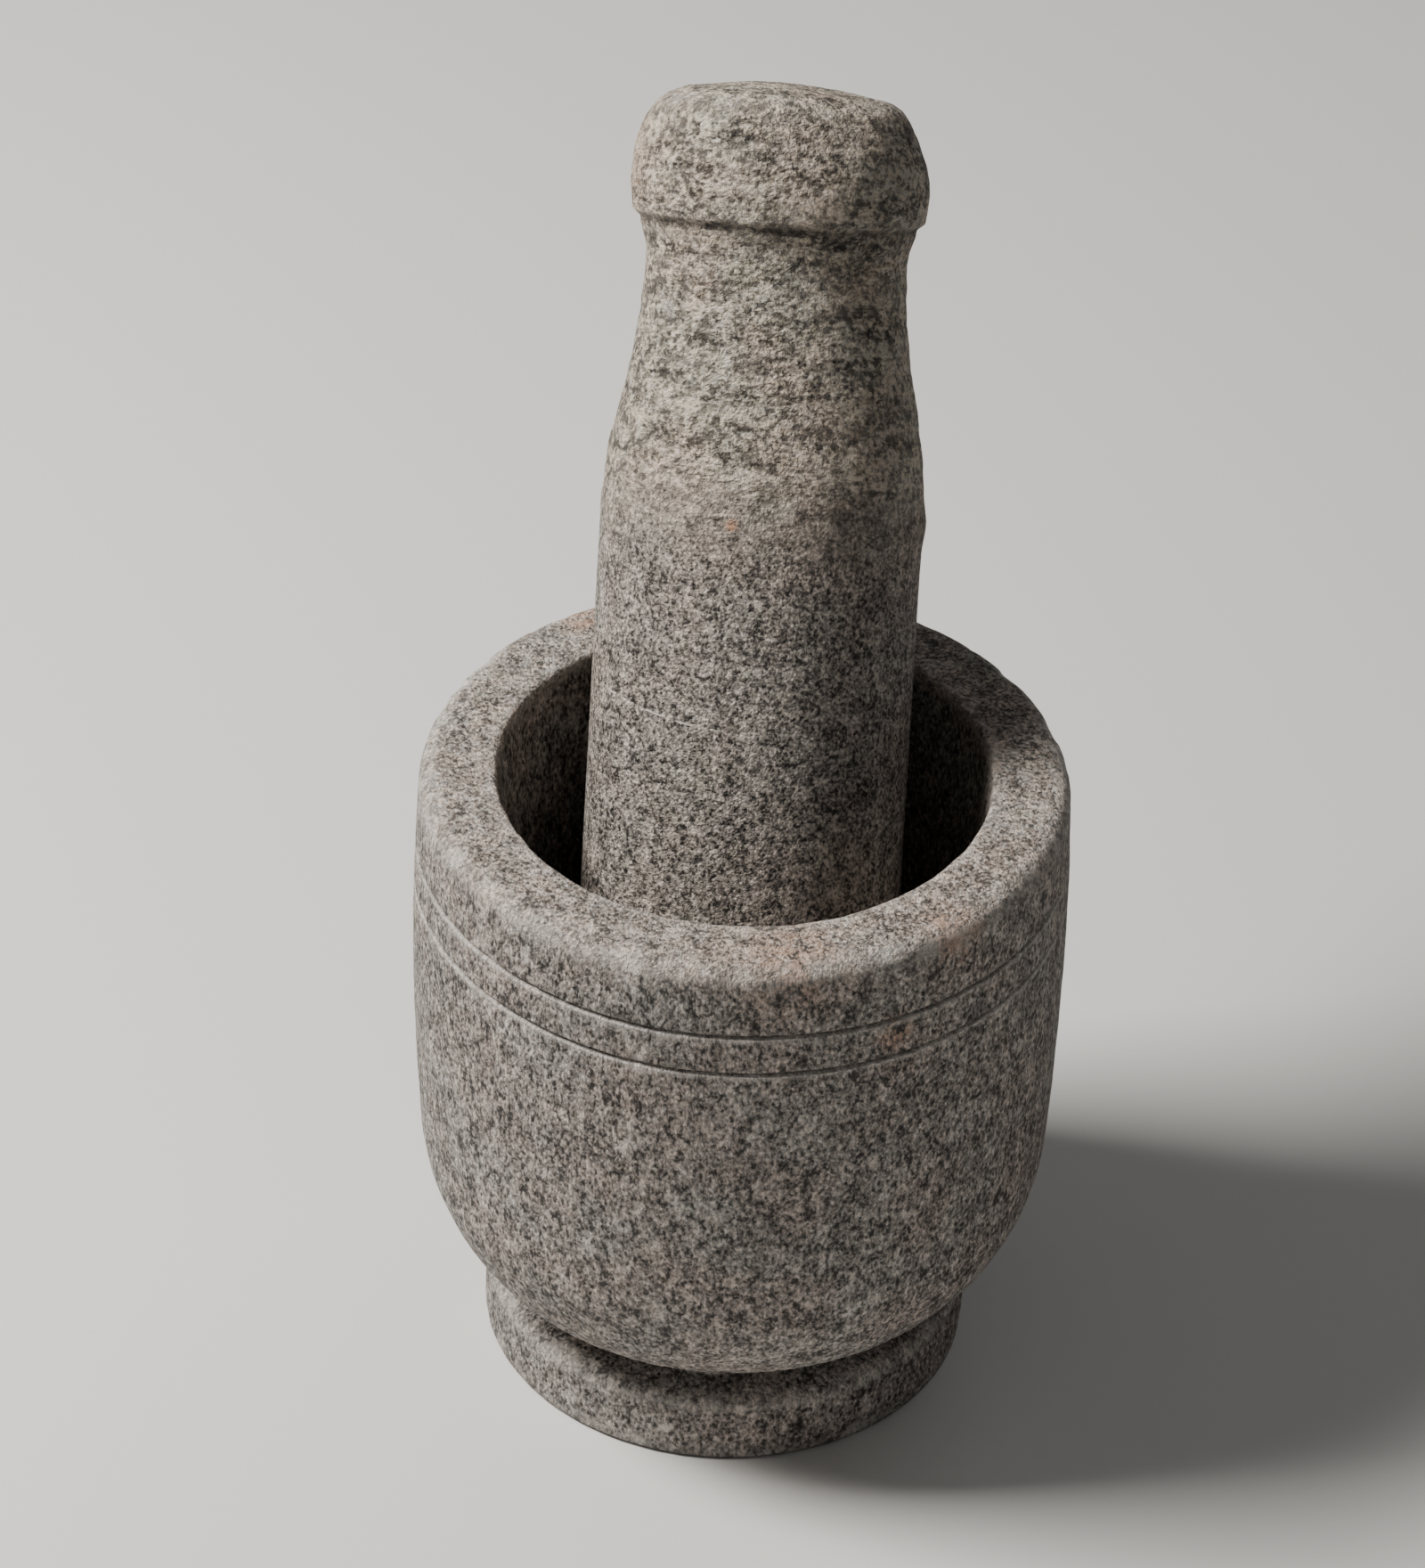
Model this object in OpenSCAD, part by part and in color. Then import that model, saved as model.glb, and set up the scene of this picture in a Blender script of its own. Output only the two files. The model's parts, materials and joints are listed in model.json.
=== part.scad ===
// Mortar and pestle in grey granite, both turned. The mortar is a deep straight-sided bowl on a short
// ring foot, with two lines scribed under its rim. The pestle is a thick round-ended club with a waisted
// grip and a knob, and it leans in the bowl against the rim.
//
// The origin is the centre of the foot's flat underside. +Z is up, and the pestle leans towards +Y.

/* [Mortar] */
// Widest outer diameter, at the belly
belly_d = 121.2; // [116:0.2:124]
// Height from the foot's underside to the rim
mortar_h = 129; // [124:1:136]
// Height of the widest ring
belly_z = 86; // [78:1:92]
// Radius of the long, gentle barrel curve of the wall
barrel_r = 720; // [400:20:1200]
// Radius of the rim's outer edge
rim_round = 3.5; // [2:0.5:7]

/* [Bowl] */
// Diameter of the mouth
mouth_d = 90; // [86:1:96]
// Depth of the bowl at its centre
bowl_depth = 77; // [72:1:84]
// Radius of the round floor of the bowl
floor_r = 41; // [38:0.5:42]
// Radius of the rim's inner edge
lip_round = 1.5; // [0.5:0.5:2.5]

/* [Scribed lines] */
// Depth of the upper line below the rim
line_drop = 14.2; // [12:0.2:20]
// Distance between the two lines
line_pitch = 8.2; // [5:0.2:12]
// Width of each line
line_w = 1.2; // [0.8:0.1:1.6]
// Depth of each line
line_depth = 0.6; // [0.3:0.1:0.9]

/* [Foot] */
// Diameter of the ring foot
foot_d = 92.6; // [88:0.2:98]
// Height at which the foot's shoulder ends
foot_h = 16; // [14:0.5:17]
// Radius of the foot's shoulder
foot_round = 4; // [2:0.5:5]
// Bevel round the foot's bottom edge
foot_bevel = 0.8; // [0.4:0.1:1.5]
// Diameter of the sharp waist between foot and bowl
waist_d = 82; // [79:0.5:84]
// Height at which the wall starts to turn in towards the waist
turn_z = 49; // [48:0.5:51]
// Radius of that turn
turn_r = 37; // [35:0.5:38.5]

/* [Pestle] */
// Diameter of the club
club_d = 59.4; // [56:0.2:60]
// Length from the centre of the round end to the shoulder
shoulder_s = 85; // [80:1:90]
// Diameter of the grip at its narrowest
neck_d = 47.2; // [44:0.2:50]
// Length from the centre of the round end to the narrowest place
neck_s = 133; // [125:0.5:134]
// Radius of the hollow curve from the neck up to the knob
flare_r = 12.5; // [12:0.5:13]
// Widest diameter of the knob
knob_d = 54.2; // [52.6:0.2:57]
// Length from the centre of the round end to the knob's widest ring
knob_s = 146; // [145:0.5:148]
// Radius of the knob's side
knob_side_r = 26; // [24:0.5:27]
// Length from the centre of the round end to the crown of the knob
crown_s = 165; // [164:0.5:168]

/* [Pose] */
// Lean of the pestle from upright
lean = 27.5; // [24:0.5:30]
// Clearance of the pestle from the rim and from the floor of the bowl
seat_gap = 0.3; // [0.2:0.1:0.5]

/* [Hidden] */
$fn = 96;

belly_r = belly_d / 2;
mouth_r = mouth_d / 2;
foot_r = foot_d / 2;
waist_r = waist_d / 2;
club_r = club_d / 2;
neck_r = neck_d / 2;
knob_r = knob_d / 2;

// Bands in a round stretch of an outline
arc_steps = 10;
// Angle of the flare where it meets the knob, and of the knob's side at its two ends
flare_end = 40;
knob_side_low = -10.5;
knob_side_high = 34;
// Rise of the crown above its edge, and the radius of that edge
crown_edge_r = 17;
crown_rise = 1.5;
// Height of the small sharp notch at the waist
notch_h = 1.4;

// Points along a circular arc in an outline, both ends included
function arc(centre, radius, from, to, steps = arc_steps) =
    [for (i = [0 : steps]) let (a = from + (to - from) * i / steps) centre + radius * [cos(a), sin(a)]];

// Radius of the outer wall at a height on the barrel curve
function wall_r(z) = belly_r - barrel_r + sqrt(barrel_r ^ 2 - (z - belly_z) ^ 2);

// V-shaped cut of one scribed line, listed from its lower edge to its upper edge
function scribed_line(z) = [
    [wall_r(z - line_w / 2), z - line_w / 2],
    [wall_r(z) - line_depth, z],
    [wall_r(z + line_w / 2), z + line_w / 2]
];

// The barrel curve, the turn below it and the rim's edge above it meet at tangents
barrel_c = [belly_r - barrel_r, belly_z];
turn_a = asin((turn_z - belly_z) / barrel_r);
turn_c = barrel_c + (barrel_r - turn_r) * [cos(turn_a), sin(turn_a)];
waist_a = -acos((waist_r - turn_c[0]) / turn_r);
rim_a = asin((mortar_h - rim_round - belly_z) / (barrel_r - rim_round));
rim_c = barrel_c + (barrel_r - rim_round) * [cos(rim_a), sin(rim_a)];

line_top_z = mortar_h - line_drop;
line_low_z = line_top_z - line_pitch;
line_low_a = asin((line_low_z - line_w - belly_z) / barrel_r);

// The bowl's wall runs straight from the lip and meets the round floor at a tangent
floor_c = [0, mortar_h - bowl_depth + floor_r];
lip_c = [mouth_r + lip_round, mortar_h - lip_round];
to_lip = [mouth_r, lip_c[1]] - floor_c;
floor_a = atan2(to_lip[1], to_lip[0]) - acos(floor_r / norm(to_lip));

mortar_outline = concat(
    [[0, 0], [foot_r - foot_bevel, 0], [foot_r, foot_bevel]],
    arc([foot_r - foot_round, foot_h - foot_round], foot_round, 0, 80, 5),
    [[waist_r, foot_h + notch_h]],
    arc(turn_c, turn_r, waist_a, turn_a),
    arc(barrel_c, barrel_r, turn_a / 2, line_low_a, 5),
    scribed_line(line_low_z),
    scribed_line(line_top_z),
    arc(rim_c, rim_round, rim_a, 90, 6),
    arc(lip_c, lip_round, 90, 180, 4),
    arc(floor_c, floor_r, floor_a, -90)
);

// Radius of the grip between shoulder and neck: one smooth S-curve
function grip_r(s) = let (x = (s - shoulder_s) / (neck_s - shoulder_s))
    neck_r + (club_r - neck_r) * (1 + cos(180 * x)) / 2;

flare_c = [neck_r + flare_r, neck_s];
knob_c = [knob_r - knob_side_r, knob_s];

// Outline of the pestle along its own axis, from the centre of its round end
pestle_outline = concat(
    arc([0, 0], club_r, -90, 0),
    [for (i = [0 : arc_steps]) let (s = shoulder_s + (neck_s - shoulder_s) * i / arc_steps) [grip_r(s), s]],
    arc(flare_c, flare_r, 175, 180 - flare_end, 5),
    arc(knob_c, knob_side_r, knob_side_low, knob_side_high, 8),
    [[crown_edge_r, crown_s - crown_rise], [0, crown_s]]
);

// The pestle's axis lies in the YZ plane. It passes the lip at the back with the clearance, and the
// round end lies against the low front of the bowl's floor.
axis_dir = [sin(lean), cos(lean)];
axis_normal = [cos(lean), -sin(lean)];
axis_offset = lip_c * axis_normal - (club_r + lip_round + seat_gap);
side_step = axis_offset - floor_c * axis_normal;
end_reach = floor_r - club_r - seat_gap;
end_c = floor_c + side_step * axis_normal - sqrt(end_reach ^ 2 - side_step ^ 2) * axis_dir;

module mortar() {
    color([0.60, 0.59, 0.57])
        rotate_extrude()
            polygon(mortar_outline);
}

module pestle() {
    color([0.70, 0.68, 0.64])
        translate([0, end_c[0], end_c[1]])
            rotate([-lean, 0, 0])
                rotate_extrude()
                    polygon(pestle_outline);
}

mortar();
pestle();
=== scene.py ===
"""Looks of a granite mortar and pestle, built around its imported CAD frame.

Both pieces are turned stone, so each is an outline spun round its own axis and then roughened as
hand tools leave it: slightly out of round, with turning rings, chipped edges and worn faces. The
finish is layered mineral grain, so the speckle and the relief come from the same grains.

All sizes are metres in the row frame: the origin is under the middle of the foot, +Z is up, and
the pestle leans towards +Y.
"""

from __future__ import annotations

import json
import logging
import math
from collections.abc import Callable
from dataclasses import asdict, dataclass
from enum import Enum

import bmesh
import bpy
from mathutils import Matrix, Vector, noise

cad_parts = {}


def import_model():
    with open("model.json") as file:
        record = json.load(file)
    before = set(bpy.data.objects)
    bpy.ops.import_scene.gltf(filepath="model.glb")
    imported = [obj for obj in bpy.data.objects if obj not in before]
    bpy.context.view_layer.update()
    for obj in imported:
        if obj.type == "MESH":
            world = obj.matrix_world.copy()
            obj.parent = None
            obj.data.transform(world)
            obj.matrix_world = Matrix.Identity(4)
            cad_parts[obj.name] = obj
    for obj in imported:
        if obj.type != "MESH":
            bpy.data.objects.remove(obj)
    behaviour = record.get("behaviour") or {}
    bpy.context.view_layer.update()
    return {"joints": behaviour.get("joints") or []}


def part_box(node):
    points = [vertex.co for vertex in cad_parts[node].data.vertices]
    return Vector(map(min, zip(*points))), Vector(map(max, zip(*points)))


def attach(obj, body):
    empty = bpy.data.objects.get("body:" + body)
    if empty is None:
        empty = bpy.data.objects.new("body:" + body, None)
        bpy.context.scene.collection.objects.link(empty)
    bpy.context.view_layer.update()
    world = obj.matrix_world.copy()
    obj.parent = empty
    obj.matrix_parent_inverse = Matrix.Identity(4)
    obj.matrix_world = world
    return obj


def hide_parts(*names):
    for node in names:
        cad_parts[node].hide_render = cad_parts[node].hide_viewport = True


LOG = logging.getLogger("molcajete")
MM = 0.001
TURN = 2 * math.pi
MERGE_GAP = 0.001 * MM

Tint = tuple[float, float, float]
Stops = tuple[tuple[float, Tint], ...]

IRON = (0.62, 0.37, 0.25)
# Colour of the painted shade that darkens creases, grooves and bands under ledges.
PAINTED_SHADE_COLOUR = (0.055, 0.050, 0.045)
COOL_CLOUD = (0.98, 1.0, 0.99)
WARM_CLOUD = (1.03, 0.99, 0.97)


# ------------------------------------------------------------------------------------------------
# Outlines, spinning, wear and painted light
# ------------------------------------------------------------------------------------------------


def arc(centre: Vector, radius: float, start: float, end: float, steps: int) -> list[Vector]:
    """Points along a circular arc in an outline, both ends included.

    Args:
        centre: The arc's centre, as distance from the axis and height along it.
        radius: The arc's radius.
        start: Angle of the first point, in radians.
        end: Angle of the last point, in radians.
        steps: Number of equal stretches.

    Returns:
        The points, from start to end.
    """
    angles = [start + (end - start) * i / steps for i in range(steps + 1)]
    return [centre + radius * Vector((math.cos(a), math.sin(a))) for a in angles]


def ease(x: float, low: float, high: float) -> float:
    """Smooth step from 0 at low to 1 at high, for either order of low and high."""
    t = min(max((x - low) / (high - low), 0.0), 1.0)
    return t * t * (3 - 2 * t)


def near(x: float, place: float, width: float) -> float:
    """Bell curve: 1 at the place, and next to nothing two widths away from it."""
    return math.exp(-(((x - place) / width) ** 2))


def mottle(point: Vector, size: float, seed: float) -> float:
    """Smooth noise from about -1 to 1, with features of one size.

    Args:
        point: Where the noise is read.
        size: Width of a typical bump.
        seed: Shifts the pattern, so that two layers differ.

    Returns:
        The noise value.
    """
    return noise.noise(point / size + Vector((seed, 1.7 * seed, 2.3 * seed)))


def chip(point: Vector, size: float, share: float, seed: float) -> float:
    """Scattered round dents, each in a cell of its own.

    Args:
        point: Where the dents are read.
        size: Width of a cell, about twice that of a dent.
        share: Share of the cells that hold a dent.
        seed: Shifts the pattern.

    Returns:
        Depth from 0, untouched, to 1, the middle of a dent.
    """
    spot = point / size + Vector((seed, 2.1 * seed, 0.6 * seed))
    distances, centres = noise.voronoi(spot)
    if noise.cell(centres[0] * 7.0) > share:
        return 0.0
    return 1 - ease(distances[0], 0.1, 0.55)


def spin_outline(outline: list[Vector], stretch: list[float], steps: int) -> bmesh.types.BMesh:
    """Spins an outline that starts and ends on the axis into a closed solid.

    Args:
        outline: Points as distance from the axis and height, from pole to pole.
        stretch: Longest allowed edge after each outline point but the last.
        steps: Number of faces round the axis.

    Returns:
        A new bmesh of the solid, with its normals outwards. The caller frees it.
    """
    mesh = bmesh.new()
    chain = [mesh.verts.new((p.x, 0, p.y)) for p in outline]
    edges = [mesh.edges.new(pair) for pair in zip(chain, chain[1:])]
    for edge, longest in zip(edges, stretch):
        cuts = math.ceil(edge.calc_length() / longest) - 1
        if cuts > 0:
            bmesh.ops.subdivide_edges(mesh, edges=[edge], cuts=cuts)
    bmesh.ops.spin(
        mesh,
        geom=mesh.verts[:] + mesh.edges[:],
        cent=(0, 0, 0),
        axis=(0, 0, 1),
        angle=TURN,
        steps=steps,
        use_merge=True,
    )
    bmesh.ops.remove_doubles(mesh, verts=mesh.verts, dist=MERGE_GAP)
    bmesh.ops.recalc_face_normals(mesh, faces=mesh.faces)
    return mesh


@dataclass(frozen=True)
class Wear:
    """What tools and use do at one place: how far it moves, how chalky it is with any painted
    highlight, and how much painted shade it gets.
    """

    move: Vector
    # Pale chalky wear, plus painted highlight on lips and shoulders that face the light.
    chalk: float = 0.0
    # Painted shade: darkening put in creases, grooves and under ledges.
    dirt: float = 0.0


def roughen(mesh: bmesh.types.BMesh, wear_at: Callable[[Vector, Vector], Wear]) -> None:
    """Moves a smooth spun shape to what hand tools and use leave, and marks chalk with painted
    highlight, and painted shade.

    Args:
        mesh: The spun shape, standing on its own axis, changed in place.
        wear_at: Gives the wear from a place and the normal there.
    """
    # Pale wear and painted highlight, one value per vertex.
    chalk = mesh.verts.layers.float.new("chalk")
    # Painted shade, one value per vertex.
    dirt = mesh.verts.layers.float.new("dirt")
    mesh.normal_update()
    worn = [(vert, wear_at(vert.co.copy(), vert.normal.copy())) for vert in mesh.verts]
    for vert, wear in worn:
        vert.co += wear.move
        vert[chalk] = wear.chalk
        vert[dirt] = wear.dirt


def finish_mesh(mesh: bmesh.types.BMesh, name: str) -> bpy.types.Object:
    """Turns a bmesh into a smooth-shaded object at the origin and frees the bmesh.

    Args:
        mesh: The shape, in place in the row frame.
        name: Name of the object and its mesh.

    Returns:
        The new object, linked to the scene.
    """
    for face in mesh.faces:
        face.smooth = True
    data = bpy.data.meshes.new(name)
    mesh.to_mesh(data)
    mesh.free()
    piece = bpy.data.objects.new(name, data)
    bpy.context.scene.collection.objects.link(piece)
    return piece


# ------------------------------------------------------------------------------------------------
# Node building
# ------------------------------------------------------------------------------------------------

Socket = bpy.types.NodeSocket
Value = float | tuple[float, ...] | Socket


class Bench:
    """Places nodes in one node tree and joins them."""

    def __init__(self, tree: bpy.types.NodeTree) -> None:
        """Starts work on a tree."""
        self.tree = tree

    def put(
        self, kind: str, inputs: dict[str | int, Value] | None = None, **settings: object
    ) -> bpy.types.Node:
        """Places one node.

        Args:
            kind: The node's type, such as ShaderNodeTexNoise.
            inputs: A number, a vector or another node's output for each named or numbered input.
            **settings: The node's own properties, such as operation.

        Returns:
            The new node.
        """
        node = self.tree.nodes.new(kind)
        for key, value in settings.items():
            setattr(node, key, value)
        for key, value in (inputs or {}).items():
            if isinstance(value, bpy.types.NodeSocket):
                self.tree.links.new(value, node.inputs[key])
            else:
                node.inputs[key].default_value = value
        return node

    def math(self, operation: str, first: Value, second: Value = 0.0, third: Value = 0.0) -> Socket:
        """One number worked out from up to three others.

        Args:
            operation: Name of the operation, such as MULTIPLY.
            first: The first number.
            second: The second number.
            third: The third number.

        Returns:
            The result.
        """
        inputs = {0: first, 1: second, 2: third}
        return self.put("ShaderNodeMath", inputs, operation=operation).outputs[0]

    def vector(
        self, operation: str, first: Value, second: Value = (0.0, 0.0, 0.0), **inputs: Value
    ) -> Socket:
        """One vector worked out from one or two others.

        Args:
            operation: Name of the operation, such as ADD.
            first: The first vector.
            second: The second vector.
            **inputs: Any further input by its name, such as Scale.

        Returns:
            The result.
        """
        given = {0: first, 1: second, **inputs}
        return self.put("ShaderNodeVectorMath", given, operation=operation).outputs[0]

    def measure(self, operation: str, first: Value, second: Value = (0.0, 0.0, 0.0)) -> Socket:
        """One number worked out from one or two vectors.

        Args:
            operation: Name of the operation, such as DISTANCE.
            first: The first vector.
            second: The second vector.

        Returns:
            The result.
        """
        given = {0: first, 1: second}
        return self.put("ShaderNodeVectorMath", given, operation=operation).outputs["Value"]

    def blend(self, factor: Value, low: Value, high: Value, mode: str = "MIX") -> Socket:
        """One colour blended from two.

        Args:
            factor: Share of the high colour.
            low: The colour at factor 0.
            high: The colour at factor 1.
            mode: Name of the blend, such as MULTIPLY.

        Returns:
            The blended colour.
        """
        inputs = {0: factor, 6: low, 7: high}
        return self.put("ShaderNodeMix", inputs, data_type="RGBA", blend_type=mode).outputs[2]

    def between(
        self, value: Value, low: float, high: float, start: float = 0.0, end: float = 1.0
    ) -> Socket:
        """Smoothly maps a range of a value onto another range.

        Args:
            value: The value to map.
            low: Where the range starts.
            high: Where the range ends.
            start: The result at low and beyond.
            end: The result at high and beyond.

        Returns:
            The mapped value.
        """
        inputs = {"Value": value, "From Min": low, "From Max": high, "To Min": start, "To Max": end}
        return self.put("ShaderNodeMapRange", inputs, interpolation_type="SMOOTHSTEP").outputs[0]

    def tint(self, factor: Value, low: Value, high: Tint) -> Socket:
        """A blend from any low colour to a plain high one, by the factor."""
        return self.blend(factor, low if isinstance(low, Socket) else (*low, 1), (*high, 1))

    def effect(self, tree: bpy.types.NodeTree, **inputs: Value) -> bpy.types.bpy_prop_collection:
        """Places a node group and returns its outputs.

        Args:
            tree: The group.
            **inputs: A value for each input, by its name in small letters with _ for spaces.

        Returns:
            The group's outputs.
        """
        named = {key.replace("_", " ").title(): value for key, value in inputs.items()}
        return self.put("ShaderNodeGroup", named, node_tree=tree).outputs

    def mix(self, factor: Value, low: Value, high: Value) -> Socket:
        """One number blended from two, low at factor 0 and high at factor 1."""
        return self.put("ShaderNodeMix", {0: factor, 2: low, 3: high}).outputs[0]

    def noise(
        self, vector: Socket, size: float, detail: float = 2.0, roughness: float = 0.5
    ) -> Socket:
        """Soft noise from 0 to 1.

        Args:
            vector: Where the noise is read.
            size: Width of a typical bump.
            detail: Number of finer layers.
            roughness: Weight of the finer layers.

        Returns:
            The noise value.
        """
        inputs = {"Vector": vector, "Scale": 1 / size, "Detail": detail, "Roughness": roughness}
        return self.put("ShaderNodeTexNoise", inputs).outputs["Fac"]

    def ramp(self, value: Value, stops: Stops) -> Socket:
        """A colour picked along a row of colour stops.

        Args:
            value: Place along the ramp, from 0 to 1.
            stops: Place and colour of each stop, in order.

        Returns:
            The colour.
        """
        node = self.put("ShaderNodeValToRGB", {0: value})
        elements = node.color_ramp.elements
        while len(elements) < len(stops):
            elements.new(1.0)
        for element, (place, colour) in zip(elements, stops):
            element.position = place
            element.color = (*colour, 1)
        return node.outputs[0]


class Group(Bench):
    """A shader node group: an effect that is built once and used in each stone."""

    def __init__(self, name: str, inputs: dict[str, float | str], outputs: dict[str, str]) -> None:
        """Makes the group and its sockets.

        Args:
            name: Name of the group.
            inputs: Default number of each input, or its socket type.
            outputs: Socket type of each output.
        """
        super().__init__(bpy.data.node_groups.new(name, "ShaderNodeTree"))
        for label, given in inputs.items():
            kind = given if isinstance(given, str) else "NodeSocketFloat"
            socket = self.tree.interface.new_socket(label, in_out="INPUT", socket_type=kind)
            if not isinstance(given, str):
                socket.default_value = given
        for label, kind in outputs.items():
            self.tree.interface.new_socket(label, in_out="OUTPUT", socket_type=kind)
        self.given = self.put("NodeGroupInput").outputs

    def give(self, outputs: dict[str, Socket]) -> bpy.types.NodeTree:
        """Joins results to the group's outputs and returns the finished tree."""
        self.put("NodeGroupOutput", outputs)
        return self.tree


def mineral_grain() -> bpy.types.NodeTree:
    """Ragged mineral grains with crumbs between them, in loose clusters, and dark flakes of mica.

    Returns:
        A group that gives each place a shade and a hue from 0 to 1, and the height of its face.
    """
    group = Group(
        "mineral_grain",
        {
            "Vector": "NodeSocketVector",
            "Grain Size": MM,
            "Breakup": 1.6,
            "Contrast": 1.0,
            "Clusters": 0.9,
            "Mica": 0.5,
        },
        {"Shade": "NodeSocketFloat", "Hue": "NodeSocketFloat", "Height": "NodeSocketFloat"},
    )
    given = group.given
    per_grain = group.math("DIVIDE", 1.0, given["Grain Size"])
    grid = group.vector("SCALE", given["Vector"], Scale=per_grain)
    elsewhere = group.vector("ADD", grid, (7.3, 2.9, 5.1))
    swirl_inputs = {"Vector": grid, "Scale": 1.9, "Detail": 3.0, "Roughness": 0.6}
    swirl = group.put("ShaderNodeTexNoise", swirl_inputs).outputs["Color"]
    centred = group.vector("SUBTRACT", swirl, (0.5, 0.5, 0.5))
    broken = group.vector("ADD", grid, group.vector("SCALE", centred, Scale=given["Breakup"]))
    cells = group.put("ShaderNodeTexVoronoi", {"Vector": broken, "Scale": 1.25}).outputs
    parts = group.put("ShaderNodeSeparateColor", {0: cells["Color"]}).outputs

    crumbs = group.noise(elsewhere, 1.3, 4.0, 0.66)
    cloud = group.noise(grid, 4.8, 2.0)
    shade = group.math("MULTIPLY_ADD", parts[0], 0.34, -0.17)
    shade = group.math("MULTIPLY_ADD", group.math("SUBTRACT", crumbs, 0.5), 2.1, shade)
    shade = group.math("MULTIPLY_ADD", group.math("SUBTRACT", cloud, 0.5), given["Clusters"], shade)
    shade = group.math("MULTIPLY_ADD", shade, given["Contrast"], 0.54)
    flakes = group.between(group.noise(broken, 2.2, 3.0, 0.6), 0.56, 0.66)
    shade = group.math("SUBTRACT", shade, group.math("MULTIPLY", flakes, given["Mica"]))
    kept = group.put("ShaderNodeClamp", {0: shade}).outputs[0]

    warmth = group.noise(elsewhere, 6.0, 3.0, 0.6)
    hue = group.math("MULTIPLY_ADD", parts[1], 0.35, group.math("MULTIPLY", warmth, 0.65))
    crumb_height = group.math("MULTIPLY", crumbs, 0.6)
    domes = group.math("MULTIPLY_ADD", cells["Distance"], -0.45, crumb_height)
    height = group.math("MULTIPLY_ADD", kept, 0.35, domes)
    return group.give({"Shade": kept, "Hue": hue, "Height": height})


def cut_marks() -> bpy.types.NodeTree:
    """Fine uneven lines left by a tool, drawn out along one direction.

    Returns:
        A group that gives the lines' height and a slower streak, both from 0 to 1.
    """
    group = Group(
        "cut_marks",
        {"Vector": "NodeSocketVector", "Line Width": MM},
        {"Height": "NodeSocketFloat", "Streak": "NodeSocketFloat"},
    )
    per_line = group.math("DIVIDE", 1.0, group.given["Line Width"])
    grid = group.vector("SCALE", group.given["Vector"], Scale=per_line)
    height = group.noise(grid, 1.0, 3.0)
    streak = group.noise(grid, 2.2, 3.0, 0.6)
    return group.give({"Height": height, "Streak": streak})


def stain() -> bpy.types.NodeTree:
    """A soft-edged ball of another tint inside the stone, broken up by noise.

    Returns:
        A group that gives the stain's share of the colour from 0 to 1.
    """
    group = Group(
        "stain",
        {
            "Vector": "NodeSocketVector",
            "Centre": "NodeSocketVector",
            "Radius": 10 * MM,
            "Strength": 0.5,
        },
        {"Share": "NodeSocketFloat"},
    )
    given = group.given
    away = group.measure("DISTANCE", given["Vector"], given["Centre"])
    ball = group.between(group.math("DIVIDE", away, given["Radius"]), 1.0, 0.15)
    blotch = group.between(group.noise(given["Vector"], 2.6 * MM, 3.0, 0.6), 0.36, 0.58, 0.15, 1.0)
    share = group.math("MULTIPLY", group.math("MULTIPLY", ball, blotch), given["Strength"])
    return group.give({"Share": share})


def scratch() -> bpy.types.NodeTree:
    """A thin curved scratch, where the surface crosses a slanted plane near one place.

    Returns:
        A group that gives 1 on the scratch and 0 away from it.
    """
    group = Group(
        "scratch",
        {
            "Vector": "NodeSocketVector",
            "Centre": "NodeSocketVector",
            "Across": "NodeSocketVector",
            "Reach": 10 * MM,
            "Width": MM,
        },
        {"Share": "NodeSocketFloat"},
    )
    given = group.given
    offset = group.vector("SUBTRACT", given["Vector"], given["Centre"])
    side = group.measure("DOT_PRODUCT", offset, given["Across"])
    away = group.measure("LENGTH", offset)
    wobble = group.noise(given["Vector"], 1.5 * MM, 2.0)
    ragged = group.math("MULTIPLY_ADD", wobble, 0.5 * MM, -0.25 * MM)
    gap = group.math("ABSOLUTE", group.math("ADD", side, ragged))
    line = group.between(group.math("DIVIDE", gap, given["Width"]), 1.0, 0.4)
    near_centre = group.between(group.math("DIVIDE", away, given["Reach"]), 1.0, 0.7)
    worn = group.between(group.noise(given["Vector"], 2 * MM, 2.0), 0.35, 0.5, 0.3, 1.0)
    share = group.math("MULTIPLY", group.math("MULTIPLY", line, near_centre), worn)
    return group.give({"Share": share})


class Cut(Enum):
    """Which way the grains and the tool marks are drawn out, as the stretch of their pattern."""

    PLAIN = (1.0, 1.0, 1.0)
    ROUND = (0.78, 0.78, 1.0)
    ALONG = (1.0, 1.0, 0.66)
    ROUND_LINES = (0.10, 0.10, 1.0)
    ALONG_LINES = (1.0, 1.0, 0.09)


@dataclass(frozen=True)
class Stain:
    """A warm patch in the stone; its fields are the stain group's inputs."""

    centre: tuple[float, float, float]
    radius: float
    strength: float


@dataclass(frozen=True)
class Scratch:
    """A pale scratch: its middle, the direction across it, and half its length and width.

    Its fields are the scratch group's inputs.
    """

    centre: tuple[float, float, float]
    across: tuple[float, float, float]
    reach: float
    width: float


@dataclass(frozen=True)
class Grain:
    """The mineral grain of one part of a stone."""

    size: float
    breakup: float
    contrast: float
    clusters: float
    mica: float
    cut: Cut


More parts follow.
